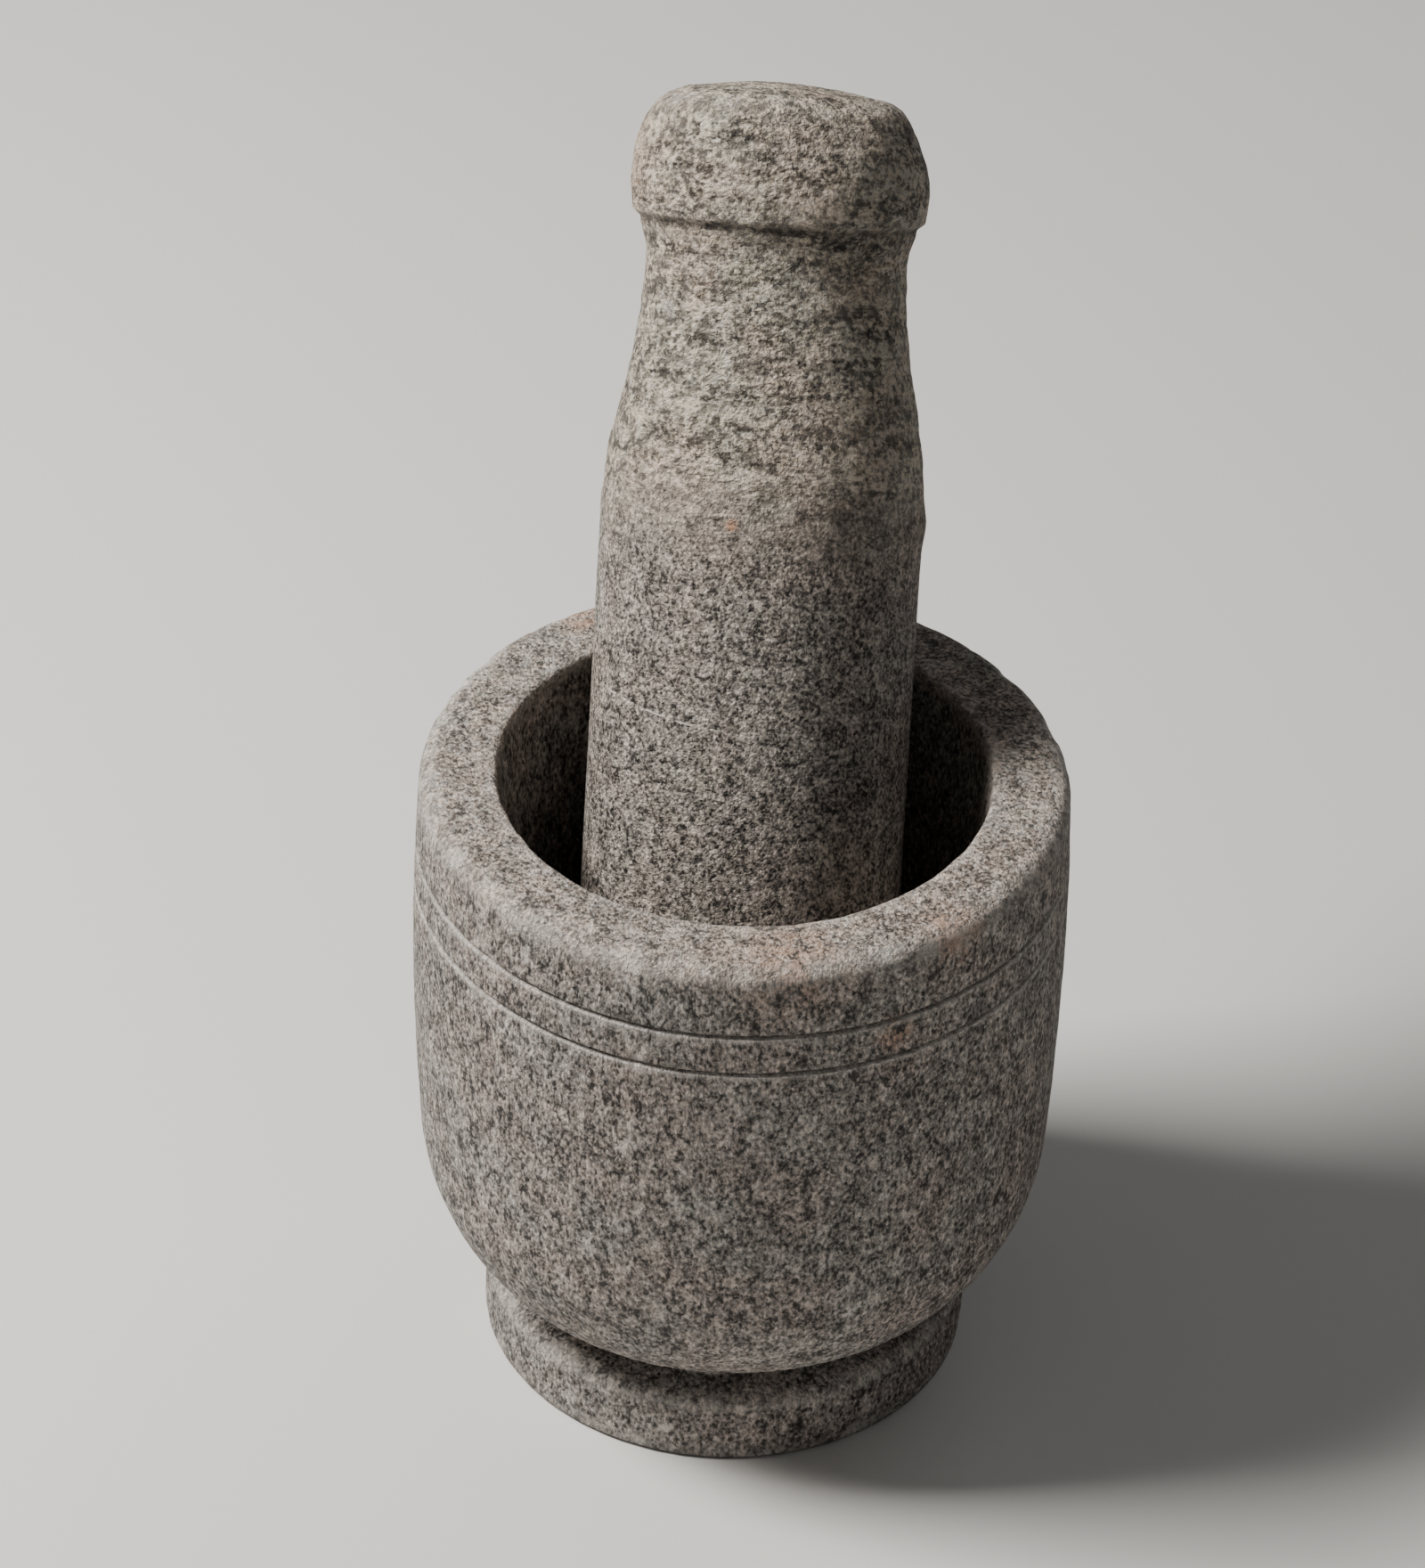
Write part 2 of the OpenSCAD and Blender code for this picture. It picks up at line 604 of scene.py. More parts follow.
@dataclass(frozen=True)
class Granite:
    """One granite and the way that it was worked."""

    name: str
    body: Grain
    top: Grain
    zone: tuple[float, float]
    top_gain: float
    top_tint: Tint
    shades: Stops
    warm_tint: Tint
    cool_tint: Tint
    # Colour of the pale wear and of the painted highlights.
    chalk: Tint
    lines: Cut
    line_width: float
    streaks: tuple[float, float]
    relief: tuple[float, float]
    turn: float
    place: tuple[float, float, float]
    stains: tuple[Stain, ...]
    scratches: tuple[Scratch, ...]

    def grains(
        self, bench: Bench, tree: bpy.types.NodeTree, vector: Socket, grain: Grain
    ) -> bpy.types.bpy_prop_collection:
        """Places the grain group for one part of the stone.

        Args:
            bench: The material's bench.
            tree: The grain group.
            vector: Coordinates along the piece's own axis.
            grain: The grain to place.

        Returns:
            The group's outputs.
        """
        return bench.effect(
            tree,
            vector=bench.vector("MULTIPLY", vector, grain.cut.value),
            grain_size=grain.size,
            breakup=grain.breakup,
            contrast=grain.contrast,
            clusters=grain.clusters,
            mica=grain.mica,
        )

    def upright(self, bench: Bench, coords: Socket) -> tuple[Socket, Socket]:
        """Coordinates with Z along the piece's own axis, and the share of the upper grain there.

        Args:
            bench: The material's bench.
            coords: Object coordinates.

        Returns:
            The turned coordinates, and 0 in the body to 1 above the zone's ragged border.
        """
        moved = bench.vector("SUBTRACT", coords, self.place)
        turned = {"Vector": moved, "Rotation": (self.turn, 0, 0)}
        vector = bench.put("ShaderNodeMapping", turned).outputs[0]
        along = bench.put("ShaderNodeSeparateXYZ", {0: vector}).outputs[2]
        wander = bench.math("MULTIPLY_ADD", bench.noise(coords, 9 * MM, 3.0), 10 * MM, -5 * MM)
        spread = min(1.0, (self.zone[1] - self.zone[0]) / (10 * MM))
        border = bench.math("MULTIPLY_ADD", wander, spread, along)
        return vector, bench.between(border, *self.zone)

    def tinted(
        self, bench: Bench, coords: Socket, top: Socket, stone: Socket, hue: Socket
    ) -> Socket:
        """Tints grey stone warm and cool, grain by grain and in wide soft clouds.

        Args:
            bench: The material's bench.
            coords: Object coordinates.
            top: Share of the upper grain.
            stone: The grey stone's colour.
            hue: The grains' hue from 0, cool, to 1, warm.

        Returns:
            The tinted colour.
        """
        warm = bench.tint(top, self.warm_tint, self.top_tint)
        tint = bench.blend(bench.between(hue, 0.36, 0.64), (*self.cool_tint, 1), warm)
        colour = bench.blend(1.0, stone, tint, "MULTIPLY")
        cloudy = bench.between(bench.noise(coords, 16 * MM, 2.0), 0.35, 0.65)
        return bench.blend(1.0, colour, bench.tint(cloudy, COOL_CLOUD, WARM_CLOUD), "MULTIPLY")

    def marked(
        self,
        bench: Bench,
        groups: dict[str, bpy.types.NodeTree],
        coords: Socket,
        colour: Socket,
        pale_grains: Socket,
    ) -> Socket:
        """Adds iron stains, chalky edges and scratches with painted highlight, and painted shade in
        the creases and under ledges.

        Args:
            bench: The material's bench.
            groups: The shared node groups by name.
            coords: Object coordinates.
            colour: The clean stone's colour.
            pale_grains: Share of the grains that are pale enough to take a stain.

        Returns:
            The marked colour.
        """
        for spot in self.stains:
            patch = bench.effect(groups["stain"], vector=coords, **asdict(spot))["Share"]
            colour = bench.tint(bench.math("MULTIPLY", patch, pale_grains), colour, IRON)
        # The chalk attribute also holds painted highlight on lips that face the light.
        chalk = bench.put("ShaderNodeAttribute", attribute_name="chalk").outputs["Fac"]
        for mark in self.scratches:
            line = bench.effect(groups["scratch"], vector=coords, **asdict(mark))["Share"]
            chalk = bench.math("MAXIMUM", chalk, line)
        broken = bench.between(bench.noise(coords, 1.0 * MM, 3.0, 0.6), 0.34, 0.6, 0.5, 1.0)
        colour = bench.tint(bench.math("MULTIPLY", chalk, broken), colour, self.chalk)
        # Painted shade: creases, grooves and down-facing bands are darkened in the colour.
        dirt = bench.put("ShaderNodeAttribute", attribute_name="dirt").outputs["Fac"]
        return bench.tint(dirt, colour, PAINTED_SHADE_COLOUR)

    def material(self, groups: dict[str, bpy.types.NodeTree]) -> bpy.types.Material:
        """Builds the stone's material.

        Args:
            groups: The shared node groups by name.

        Returns:
            The new material.
        """
        material = bpy.data.materials.new(self.name)
        material.use_nodes = True
        material.node_tree.nodes.clear()
        bench = Bench(material.node_tree)
        coords = bench.put("ShaderNodeTexCoord").outputs["Object"]
        upright, top = self.upright(bench, coords)

        tree = groups["mineral_grain"]
        body = self.grains(bench, tree, upright, self.body)
        crown = self.grains(bench, tree, upright, self.top)
        shade, hue, height = (
            bench.mix(top, body[key], crown[key]) for key in ("Shade", "Hue", "Height")
        )
        lines = bench.vector("MULTIPLY", upright, self.lines.value)
        marks = bench.effect(groups["cut_marks"], vector=lines, line_width=self.line_width)
        weight = bench.mix(top, *self.streaks)
        streak = bench.math("MULTIPLY", bench.math("SUBTRACT", marks["Streak"], 0.5), weight)
        streaked = bench.math("ADD", shade, streak)
        lifted = bench.math("MULTIPLY_ADD", top, self.top_gain, streaked)
        colour = self.tinted(bench, coords, top, bench.ramp(lifted, self.shades), hue)
        pale_grains = bench.between(lifted, 0.22, 0.5)
        colour = self.marked(bench, groups, coords, colour, pale_grains)

        gloss = bench.between(shade, 0.0, 0.3, 0.55, 0.85)
        grit = bench.noise(coords, 0.42 * MM, 2.0, 0.6)
        height = bench.math("MULTIPLY_ADD", grit, 0.45, height)
        height = bench.math("MULTIPLY_ADD", marks["Height"], 0.8, height)
        height = bench.math("MULTIPLY", height, bench.mix(top, *self.relief))
        bump = bench.put("ShaderNodeBump", {"Strength": 1.0, "Distance": MM, "Height": height})
        surface = bench.put(
            "ShaderNodeBsdfPrincipled",
            {"Base Color": colour, "Roughness": gloss, "Normal": bump.outputs[0], "IOR": 1.5},
        )
        bench.put("ShaderNodeOutputMaterial", {"Surface": surface.outputs[0]})
        return material


# ------------------------------------------------------------------------------------------------
# The mortar
# ------------------------------------------------------------------------------------------------


@dataclass
class Mortar:
    """The bowl on its ring foot, cut from one stone.

    The line profile gives heights above a line's bottom in millimetres and shares of its depth.
    """

    belly_r: float
    height: float
    belly_z: float = 86 * MM
    barrel_r: float = 720 * MM
    rim_round: float = 3.5 * MM
    mouth_r: float = 45 * MM
    bowl_depth: float = 77 * MM
    floor_r: float = 41 * MM
    lip_round: float = 1.5 * MM
    line_drop: float = 14.2 * MM
    line_pitch: float = 8.2 * MM
    line_depth: float = 0.85 * MM
    line_profile: tuple[tuple[float, float], ...] = (
        (-0.95, 0.0),
        (-0.75, 0.0),
        (-0.62, 0.10),
        (-0.15, 0.85),
        (0.0, 1.0),
        (0.12, 0.85),
        (0.36, 0.08),
        (0.55, 0.0),
    )
    foot_r: float = 46.3 * MM
    foot_h: float = 16 * MM
    foot_round: float = 4 * MM
    foot_bevel: float = 0.8 * MM
    waist_r: float = 41 * MM
    turn_z: float = 49 * MM
    turn_r: float = 37 * MM
    foot_shift: float = 0.8 * MM
    nick_depth: float = 0.38 * MM
    crumb_depth: float = 0.22 * MM
    lip_nick_depth: float = 0.5 * MM
    ring_depth: float = 0.09 * MM
    steps: int = 352

    def wall_r(self, z: float) -> float:
        """Radius of the outer wall at a height on its long barrel curve."""
        reach = math.sqrt(self.barrel_r**2 - (z - self.belly_z) ** 2)
        return self.belly_r - self.barrel_r + reach

    def line_heights(self) -> tuple[float, float]:
        """Heights of the lower and the upper scribed line."""
        upper = self.height - self.line_drop
        return upper - self.line_pitch, upper

    def scribed_line(self, z: float) -> list[Vector]:
        """Outline of one scribed line: a long lower flank, a narrow bottom and a steep upper flank.

        Args:
            z: Height of the line's bottom.

        Returns:
            The points, from the lower lip to the upper one.
        """
        rows = [(z + up * MM, share * self.line_depth) for up, share in self.line_profile]
        return [Vector((self.wall_r(height) - depth, height)) for height, depth in rows]

    def outline(self) -> tuple[list[Vector], list[float]]:
        """The outline from the middle of the underside to the middle of the bowl's floor.

        Returns:
            The points, and the longest edge allowed after each of them but the last.
        """
        barrel_c = Vector((self.belly_r - self.barrel_r, self.belly_z))
        turn_a = math.asin((self.turn_z - self.belly_z) / self.barrel_r)
        turn_reach = self.barrel_r - self.turn_r
        turn_c = barrel_c + turn_reach * Vector((math.cos(turn_a), math.sin(turn_a)))
        waist_a = -math.acos((self.waist_r - turn_c.x) / self.turn_r)
        rim_reach = self.barrel_r - self.rim_round
        rim_a = math.asin((self.height - self.rim_round - self.belly_z) / rim_reach)
        rim_c = barrel_c + rim_reach * Vector((math.cos(rim_a), math.sin(rim_a)))
        lip_c = Vector((self.mouth_r + self.lip_round, self.height - self.lip_round))
        floor_c = Vector((0, self.height - self.bowl_depth + self.floor_r))
        to_lip = Vector((self.mouth_r, lip_c.y)) - floor_c
        floor_a = math.atan2(to_lip.y, to_lip.x) - math.acos(self.floor_r / to_lip.length)
        shoulder_c = Vector((self.foot_r - self.foot_round, self.foot_h - self.foot_round))
        low, high = self.line_heights()
        wall_rows = (62 * MM, 76 * MM, 90 * MM, low - 2.6 * MM)

        parts: list[tuple[list[Vector], float]] = [
            ([Vector((0, 0)), Vector((self.foot_r - self.foot_bevel, 0))], 6 * MM),
            ([Vector((self.foot_r, self.foot_bevel))], 1.1 * MM),
            (arc(shoulder_c, self.foot_round, 0, math.radians(80), 6), 1.0 * MM),
            ([Vector((self.waist_r + 0.5 * MM, self.foot_h + 0.7 * MM))], 0.5 * MM),
            ([Vector((self.waist_r, self.foot_h + 1.1 * MM))], 0.5 * MM),
            (arc(turn_c, self.turn_r, waist_a, turn_a, 34), 1.2 * MM),
            ([Vector((self.wall_r(z), z)) for z in wall_rows], 1.2 * MM),
            (self.scribed_line(low), 1.2 * MM),
            (self.scribed_line(high), 1.2 * MM),
            (arc(rim_c, self.rim_round, rim_a, math.pi / 2, 8), 1.0 * MM),
            (arc(lip_c, self.lip_round, math.pi / 2, math.pi, 4), 1.4 * MM),
            (arc(floor_c, self.floor_r, floor_a, -math.pi / 2, 30), 2.2 * MM),
        ]
        points = [point for part, _ in parts for point in part]
        stretch = [longest for part, longest in parts for _ in part]
        points[-1].x = 0.0
        return points, stretch[:-1]

    def wear_inside(self, point: Vector, normal: Vector, swell: float, pitting: float) -> Wear:
        """The wear in the bowl, which use has ground smoother than the wall.

        Args:
            point: Place on the smooth shape.
            normal: The surface's direction there.
            swell: Height of the broad unevenness there.
            pitting: Height of the fine unevenness there.

        Returns:
            The wear.
        """
        lip = near(point.z, self.height, 2.0 * MM)
        nick = lip * chip(point, 6 * MM, 0.4, 4)
        depth = 0.3 * swell - 0.15 * MM + pitting
        move = normal * (depth - self.lip_nick_depth * nick)
        return Wear(move, chalk=0.35 * nick + 0.3 * lip)

    def edge_at(self, point: Vector, radius: float) -> float:
        """How near a place is to an edge that chips: the rim's two, the foot's and its shoulder's.

        Args:
            point: Place on the smooth shape.
            radius: Its distance from the axis.

        Returns:
            1 on the rim's outer edge and on the foot's, less on the others, 0 away from all.
        """
        outer = near(point.z, self.height - 1.6 * MM, 2.4 * MM) * ease(radius, 54 * MM, 58 * MM)
        inner = near(radius, self.mouth_r + 0.7 * MM, 1.5 * MM) * ease(point.z, 125 * MM, 128 * MM)
        foot = near(point.z, 0.8 * MM, 1.8 * MM)
        shoulder = near(point.z, self.foot_h - 1.5 * MM, 1.8 * MM)
        shoulder *= ease(radius, 43 * MM, 45 * MM)
        return max(outer, 0.7 * inner, foot, 0.6 * shoulder)

    def wear_outside(self, point: Vector, normal: Vector, swell: float, pitting: float) -> Wear:
        """The wear on the wall, the rim and the foot, and the painted highlight and painted shade
        at the scribed lines, the foot's shoulder and the waist.

        Args:
            point: Place on the smooth shape.
            normal: The surface's direction there.
            swell: Height of the broad unevenness there.
            pitting: Height of the fine unevenness there.

        Returns:
            The wear.
        """
        low, high = self.line_heights()
        line = max(near(point.z, low, 1.0 * MM), near(point.z, high, 1.0 * MM))
        edge = self.edge_at(point, math.hypot(point.x, point.y))
        nick = edge * chip(point, 7 * MM, 0.45, 5)
        crumb = max(edge, line) * chip(point, 3.2 * MM, 0.4, 6)
        under = ease(point.z, 46 * MM, 22 * MM) + near(point.z, low - 8 * MM, 4 * MM)
        wave = math.sin(point.z / (0.36 * MM) + 2 * mottle(point, 30 * MM, 8))
        rings = self.ring_depth * under * wave
        depth = swell + pitting + rings - self.nick_depth * nick - self.crumb_depth * crumb
        outwards = Vector((point.x, point.y, 0)).normalized() if line > 0.3 else normal
        move = outwards * (depth * ease(point.z, 0.2 * MM, 2 * MM))
        move.x -= self.foot_shift * ease(point.z, 30 * MM, 12 * MM)

        # Painted highlight along the lower lips of the scribed lines and on the foot's shoulder,
        # broken up by noise; nicks, crumbs and edges are paler worn stone.
        highlight_breakup = 0.5 + 0.3 * mottle(point, 12 * MM, 7) + 0.4 * mottle(point, 3.5 * MM, 10)
        lower_lip = max(near(point.z, z - 0.6 * MM, 0.4 * MM) for z in (low, high))
        shelf = 0.5 * near(point.z, self.foot_h - 3.2 * MM, 0.7 * MM)
        pale = (1.1 * lower_lip + shelf) * (0.35 + 0.65 * highlight_breakup)
        pale += 0.6 * nick + 0.4 * crumb + 0.2 * edge
        # Painted shade in the scribed grooves and in the waist under the bowl.
        groove = max(near(point.z, z + 0.12 * MM, 0.30 * MM) for z in (low, high))
        waist = near(point.z, self.foot_h + 1.2 * MM, 0.8 * MM)
        return Wear(move, chalk=min(1.0, pale), dirt=0.60 * groove + 0.20 * waist)

    def wear_at(self, point: Vector, normal: Vector) -> Wear:
        """The wear at one place of the smooth spun shape; the flat underside has none.

        Args:
            point: Place on the smooth shape.
            normal: The surface's direction there.

        Returns:
            The wear.
        """
        if point.z < 0.3 * MM:
            return Wear(Vector())
        swell = 0.30 * MM * mottle(point, 34 * MM, 1) + 0.10 * MM * mottle(point, 9 * MM, 2)
        pitting = 0.05 * MM * mottle(point, 2.6 * MM, 3)
        below_floor = self.height - self.bowl_depth - MM
        in_bowl = math.hypot(point.x, point.y) < self.mouth_r + 0.2 * MM and point.z > below_floor
        wear = self.wear_inside if in_bowl else self.wear_outside
        return wear(point, normal, swell, pitting)

    def build(self) -> bpy.types.Object:
        """Builds the mortar's mesh and returns the object."""
        outline, stretch = self.outline()
        mesh = spin_outline(outline, stretch, self.steps)
        roughen(mesh, self.wear_at)
        return finish_mesh(mesh, "stone_mortar")


# ------------------------------------------------------------------------------------------------
# The pestle
# ------------------------------------------------------------------------------------------------


FLARE_START = math.radians(175)
KNOB_SIDE = (math.radians(-9.8), math.radians(33))


@dataclass
class Pestle:
    """The club, cut from one stone: round end, shoulder, waisted grip and knob.

    Lengths called s run along its axis from the centre of the round end. Each tool band has its
    place, width and depth in millimetres.
    """

    club_r: float
    end_centre: Vector
    axis: Vector
    shoulder_s: float = 85 * MM
    neck_r: float = 23.6 * MM
    neck_s: float = 133 * MM
    flare_r: float = 12.5 * MM
    flare_end: float = math.radians(38.5)
    knob_r: float = 27.1 * MM
    knob_s: float = 146 * MM
    knob_side_r: float = 26 * MM
    knob_corner: tuple[float, float] = (26.62 * MM, 141.12 * MM)
    crown_s: float = 165 * MM
    crown_edge_r: float = 17 * MM
    crown_rise: float = 1.5 * MM
    crown_bevel: tuple[tuple[float, float], ...] = (
        (22.0 * MM, 161.2 * MM),
        (20.6 * MM, 162.1 * MM),
    )
    crown_dome: tuple[float, float] = (9 * MM, 164.6 * MM)
    crown_slope: float = 0.12
    crease_s: float = 139.7 * MM
    crease_depth: float = 0.60 * MM
    nick_depth: float = 0.5 * MM
    tool_bands: tuple[tuple[float, float, float], ...] = (
        (91, 1.2, 0.16),
        (103, 1.4, 0.22),
        (109, 1.0, 0.18),
        (115, 1.6, 0.22),
        (123, 1.2, 0.12),
    )
    steps: int = 240

    @property
    def lean(self) -> float:
        """Angle of the pestle from upright, in radians."""
        return math.atan2(self.axis.y, self.axis.z)

    def grip_r(self, s: float) -> float:
        """Radius of the grip between shoulder and neck, on one smooth S-curve."""
        x = (s - self.shoulder_s) / (self.neck_s - self.shoulder_s)
        return self.neck_r + (self.club_r - self.neck_r) * (1 + math.cos(math.pi * x)) / 2

    def outline(self) -> tuple[list[Vector], list[float]]:
        """The outline from the tip of the round end to the top of the knob.

        Returns:
            The points, and the longest edge allowed after each of them but the last.
        """
        flare_c = Vector((self.neck_r + self.flare_r, self.neck_s))
        knob_c = Vector((self.knob_r - self.knob_side_r, self.knob_s))
        grip = [self.shoulder_s + (self.neck_s - self.shoulder_s) * i / 24 for i in range(25)]
        parts: list[tuple[list[Vector], float]] = [
            (arc(Vector((0, 0)), self.club_r, -math.pi / 2, 0, 24), 1.4 * MM),
            ([Vector((self.grip_r(s), s)) for s in grip], 0.85 * MM),
            (arc(flare_c, self.flare_r, FLARE_START, math.pi - self.flare_end, 18), 0.5 * MM),
            ([Vector(self.knob_corner)], 0.5 * MM),
            (arc(knob_c, self.knob_side_r, *KNOB_SIDE, 20), 0.9 * MM),
            ([Vector(point) for point in self.crown_bevel], 0.9 * MM),
            ([Vector((self.crown_edge_r, self.crown_s - self.crown_rise))], 1.2 * MM),
            ([Vector(self.crown_dome), Vector((0, self.crown_s))], 1.4 * MM),
        ]
        points = [point for part, _ in parts for point in part]
        stretch = [longest for part, longest in parts for _ in part]
        points[0].x = 0.0
        return points, stretch[:-1]

    def bands(self, s: float, point: Vector) -> float:
        """Depth of the tool bands round the grip.

        Args:
            s: Length along the axis.
            point: Place on the surface; a band is deeper on one side than on the other.

        Returns:
            Depth in metres.
        """
        depth = 0.0
        for place, width, deep in self.tool_bands:
            uneven = 0.6 + 0.6 * mottle(point, 16 * MM, place)
            drift = 0.8 * MM * mottle(point, 40 * MM, place + 0.5)
            depth += deep * MM * uneven * near(s + drift, place * MM, width * MM)
        return depth

    def wear_at(self, point: Vector, normal: Vector) -> Wear:
        """The wear at one place of the smooth spun shape, with painted shade in the crease and on
        the down-facing band under the knob.

        Args:
            point: Place on the smooth shape.
            normal: The surface's direction there.

        Returns:
            The wear.
        """
        s, radius = point.z, math.hypot(point.x, point.y)
        grip = ease(s, self.shoulder_s - 4 * MM, self.shoulder_s + 8 * MM)
        swell = 0.30 * MM * mottle(point, 30 * MM, 21) + 0.12 * MM * mottle(point, 8 * MM, 22)
        pitting = (0.04 + 0.08 * grip) * MM * mottle(point, 2.0 * MM, 23)
        club = 0.35 * swell - 0.17 * MM
        hewn = 1.3 * swell + 0.12 * MM * mottle(point, 4 * MM, 24)
        depth = grip * hewn + (1 - grip) * club + pitting
        depth -= grip * self.bands(s, point)
        side = max(point.x, 0) / max(radius, MM)
        depth += 0.45 * MM * side**2 * near(s, self.shoulder_s + 1 * MM, 3 * MM)

        # The crease under the knob is cut into the shape and also gets painted shade; the band
        # under the knob, which faces down, gets painted shade only.
        crease = near(s, self.crease_s, 0.75 * MM) * (0.75 + 0.4 * mottle(point, 12 * MM, 26))
        depth -= self.crease_depth * crease
        underside = ease(s, 134.5 * MM, 138.5 * MM) * ease(s, 141.4 * MM, 140.4 * MM)
        knob_low = near(s, 141.6 * MM, 1.3 * MM)
        crown_edge = near(radius, 21 * MM, 3.5 * MM) * ease(s, 157 * MM, 161 * MM)
        edge = max(0.6 * knob_low, 0.8 * crown_edge)
        nick = edge * chip(point, 8 * MM, 0.5, 25)
        depth -= self.nick_depth * nick

        bend = 0.3 * MM * near(s, 103 * MM, 14 * MM) - 0.6 * MM * ease(s, 146 * MM, 158 * MM)
        slope = self.crown_slope * max(point.x, -2 * MM)
        facet = max(0.0, s - (self.crown_s - 0.2 * MM - slope))
        return Wear(
            normal * depth + Vector((bend, 0, -facet)),
            chalk=min(1.0, 0.5 * nick + 0.15 * edge),
            dirt=0.60 * crease + 0.16 * underside,
        )

    def place(self, mesh: bmesh.types.BMesh) -> None:
        """Leans the upright pestle onto the rim, where the CAD has it.

        Args:
            mesh: The pestle standing on its own axis, changed in place.
        """
        lean = Matrix.Rotation(-self.lean, 4, "X")
        seated = Matrix.Translation(self.end_centre) @ lean
        bmesh.ops.transform(mesh, matrix=seated, verts=mesh.verts)

    def build(self) -> bpy.types.Object:
        """Builds the pestle's mesh and returns the object."""
        outline, stretch = self.outline()
        mesh = spin_outline(outline, stretch, self.steps)
        roughen(mesh, self.wear_at)
        self.place(mesh)
        return finish_mesh(mesh, "stone_pestle")


# ------------------------------------------------------------------------------------------------
# Studio
# ------------------------------------------------------------------------------------------------


@dataclass(frozen=True)
class Softbox:
    """A square studio light that looks at the object."""

    name: str
    place: tuple[float, float, float]
    width: float
    power: float
    colour: Tint

    def hang(self, target: Vector) -> None:
        """Adds the light.

        Args:
            target: The point that the light is aimed at.
        """
        light = bpy.data.lights.new(self.name, "AREA")
        light.size = self.width
        light.energy = self.power
        light.color = self.colour
        lamp = bpy.data.objects.new(self.name, light)
        lamp.location = self.place
        lamp.rotation_euler = (target - lamp.location).to_track_quat("-Z", "Y").to_euler()
        bpy.context.scene.collection.objects.link(lamp)


@dataclass(frozen=True)
class Studio:
    """Pale floor, soft lights and the camera."""

    elevation: float = math.radians(37.1)
    azimuth: float = math.radians(3.2)
    roll: float = math.radians(1.7)
    distance: float = 1.058
    lens: float = 133.0
    aim: tuple[float, float, float] = (-0.0058, -0.0003, 0.1252)
    floor_size: float = 6.0
    floor_colour: Tint = (0.78, 0.775, 0.76)
    air_colour: Tint = (0.83, 0.82, 0.81)
    air_strength: float = 0.12
    look: str = "AgX - Medium High Contrast"
    softboxes: tuple[Softbox, ...] = (
        Softbox("key_softbox", (-0.80, -0.05, 1.05), 0.42, 20.0, (1.0, 0.97, 0.93)),
        Softbox("fill_softbox", (0.5, -1.4, 0.9), 1.2, 0.8, (0.98, 0.99, 1.0)),
        Softbox("back_softbox", (0.7, 1.1, 1.2), 1.0, 2.0, (1.0, 1.0, 1.0)),
    )

    def camera(self) -> None:
        """Adds the camera, level with its own roll, and makes it the scene's camera."""
        data = bpy.data.cameras.new("camera")
        data.lens = self.lens
        data.sensor_width = 36.0
        data.clip_start = 0.05
        eye = bpy.data.objects.new("camera", data)
        turn = Matrix.Rotation(self.azimuth, 4, "Z")
        tip = Matrix.Rotation(math.pi / 2 - self.elevation, 4, "X")
        spin = Matrix.Rotation(self.roll, 4, "Z")
        back = Matrix.Translation((0, 0, self.distance))
        eye.matrix_world = Matrix.Translation(self.aim) @ turn @ tip @ back @ spin
        bpy.context.scene.collection.objects.link(eye)
        bpy.context.scene.camera = eye

    def floor(self) -> None:
        """Adds the plain pale floor, which isn't part of the object."""
        mesh = bmesh.new()
        bmesh.ops.create_grid(mesh, x_segments=1, y_segments=1, size=self.floor_size / 2)
        ground = finish_mesh(mesh, "floor")
        material = bpy.data.materials.new("pale_floor")
        material.use_nodes = True
        surface = material.node_tree.nodes["Principled BSDF"]
        surface.inputs["Base Color"].default_value = (*self.floor_colour, 1)
        surface.inputs["Roughness"].default_value = 0.9
        ground.data.materials.append(material)

    def air(self) -> None:
        """Gives the room a pale even background."""
        world = bpy.data.worlds.new("studio_air")
        world.use_nodes = True
        sky = world.node_tree.nodes["Background"]
        sky.inputs["Color"].default_value = (*self.air_colour, 1)
        sky.inputs["Strength"].default_value = self.air_strength
        bpy.context.scene.world = world

    def build(self) -> None:
        """Sets up the whole studio."""
        bpy.context.scene.view_settings.look = self.look
        self.camera()
        self.floor()
        self.air()
        for box in self.softboxes:
            box.hang(Vector(self.aim))


# ------------------------------------------------------------------------------------------------
# Putting it together
# ------------------------------------------------------------------------------------------------

GREYS = {0.0: 0.035, 0.17: 0.12, 0.36: 0.22, 0.50: 0.30, 0.64: 0.38, 0.83: 0.48, 1.0: 0.64}
STONE_SHADES = tuple((place, (grey, grey, grey)) for place, grey in GREYS.items())


def mortar_stone() -> Granite:
    """The mortar's granite: fine and grey, drawn out up and down the wall, with a paler rim."""
    return Granite(
        name="mortar_granite",
        body=Grain(0.62 * MM, breakup=0.9, contrast=1.3, clusters=0.85, mica=0.45, cut=Cut.ALONG),
        top=Grain(0.62 * MM, breakup=0.9, contrast=1.4, clusters=0.9, mica=0.45, cut=Cut.PLAIN),
        zone=(0.1255, 0.1280),
        # The rim top is lifted paler: partly worn stone, partly painted light on the face that
        # looks up.
        top_gain=0.10,
        top_tint=(1.15, 1.0, 0.89),
        shades=STONE_SHADES,
        warm_tint=(1.11, 1.0, 0.92),
        cool_tint=(1.06, 1.0, 0.95),
        chalk=(0.78, 0.74, 0.69),
        lines=Cut.ALONG_LINES,
        line_width=0.9 * MM,
        streaks=(0.35, 0.0),
        relief=(0.55, 0.45),
        turn=0.0,
        place=(0.0, 0.0, 0.0),
        stains=(
            Stain((0.012, -0.054, 0.128), 0.014, 0.45),
            Stain((0.040, -0.042, 0.127), 0.008, 0.6),
            Stain((-0.034, 0.044, 0.129), 0.007, 0.6),
            Stain((0.031, -0.052, 0.112), 0.006, 0.5),
        ),
        scratches=(),
    )


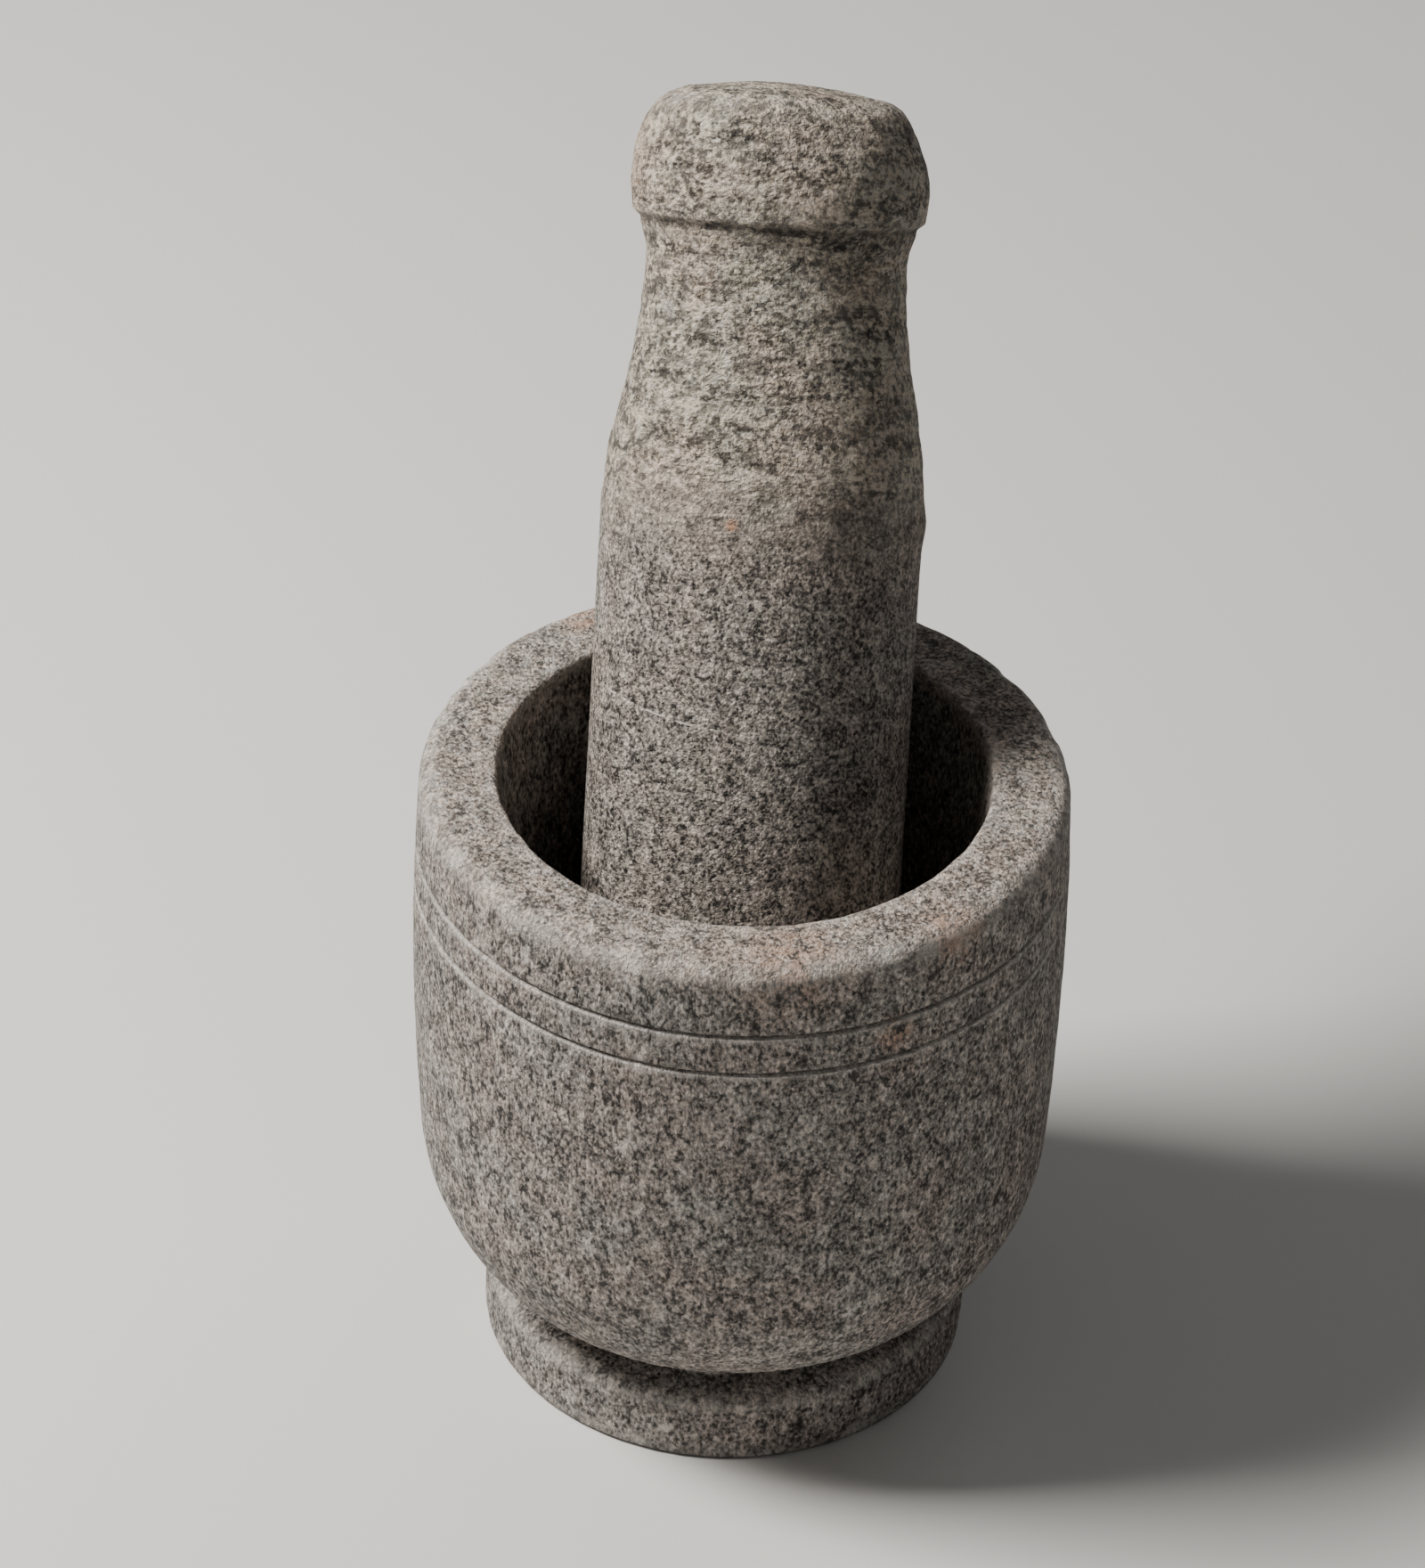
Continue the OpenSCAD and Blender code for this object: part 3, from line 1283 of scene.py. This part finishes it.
def pestle_stone(pestle: Pestle) -> Granite:
    """The pestle's granite: fine and grey on the club, coarser and creamier above it."""
    return Granite(
        name="pestle_granite",
        body=Grain(0.60 * MM, breakup=0.9, contrast=1.4, clusters=0.9, mica=0.45, cut=Cut.PLAIN),
        top=Grain(0.78 * MM, breakup=1.0, contrast=1.6, clusters=1.1, mica=0.65, cut=Cut.ROUND),
        zone=(0.076, 0.102),
        top_gain=0.21,
        top_tint=(1.13, 1.0, 0.84),
        shades=STONE_SHADES,
        warm_tint=(1.11, 1.0, 0.94),
        cool_tint=(1.08, 1.0, 0.90),
        chalk=(0.78, 0.74, 0.68),
        lines=Cut.ROUND_LINES,
        line_width=1.0 * MM,
        streaks=(0.10, 1.1),
        relief=(0.55, 1.0),
        turn=pestle.lean,
        place=tuple(pestle.end_centre),
        stains=(
            Stain((-0.022, 0.054, 0.221), 0.012, 0.35),
            Stain((0.004, 0.056, 0.236), 0.008, 0.35),
            Stain((-0.0041, 0.0047, 0.179), 0.0018, 1.0),
        ),
        scratches=(Scratch((-0.0170, -0.0070, 0.1456), (0.089, 0.297, 0.951), 0.0165, 0.26 * MM),),
    )


def read_frame(frame: dict) -> tuple[Mortar, Pestle]:
    """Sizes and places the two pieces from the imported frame.


    Returns:
        The mortar and the pestle, ready to build.
    """
    low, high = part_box("mortar")
    mortar = Mortar(belly_r=(high.x - low.x) / 2, height=high.z)
    low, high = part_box("pestle")
    club_r = (high.x - low.x) / 2
    axis = Vector(next(j["axis"] for j in frame["joints"] if j["name"] == "pestle_lift"))
    end_centre = Vector((0, low.y + club_r, low.z + club_r))
    return mortar, Pestle(club_r=club_r, end_centre=end_centre, axis=axis)


def seat(
    piece: bpy.types.Object, material: bpy.types.Material, node: str, body: str
) -> None:
    """Dresses a finished piece and hands it to the frame.

    Args:
        piece: The finished piece.
        material: Its stone.
        node: The CAD node that it stands for.
        body: The CAD body that it moves with.
    """
    piece.data.materials.append(material)
    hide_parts(node)
    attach(piece, body)
    LOG.info("%s: %d faces, rides on %s", piece.name, len(piece.data.polygons), body)


def main() -> None:
    """Builds the studio, the stones and the two pieces."""
    logging.basicConfig(level=logging.INFO, format="%(name)s: %(message)s")
    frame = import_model()
    Studio().build()
    groups = {tree.name: tree for tree in (mineral_grain(), cut_marks(), stain(), scratch())}
    mortar, pestle = read_frame(frame)
    stone = mortar_stone().material(groups)
    seat(mortar.build(), stone, "mortar", "mortar_body")
    stone = pestle_stone(pestle).material(groups)
    seat(pestle.build(), stone, "pestle", "pestle_body")


if __name__ == "__main__":
    main()
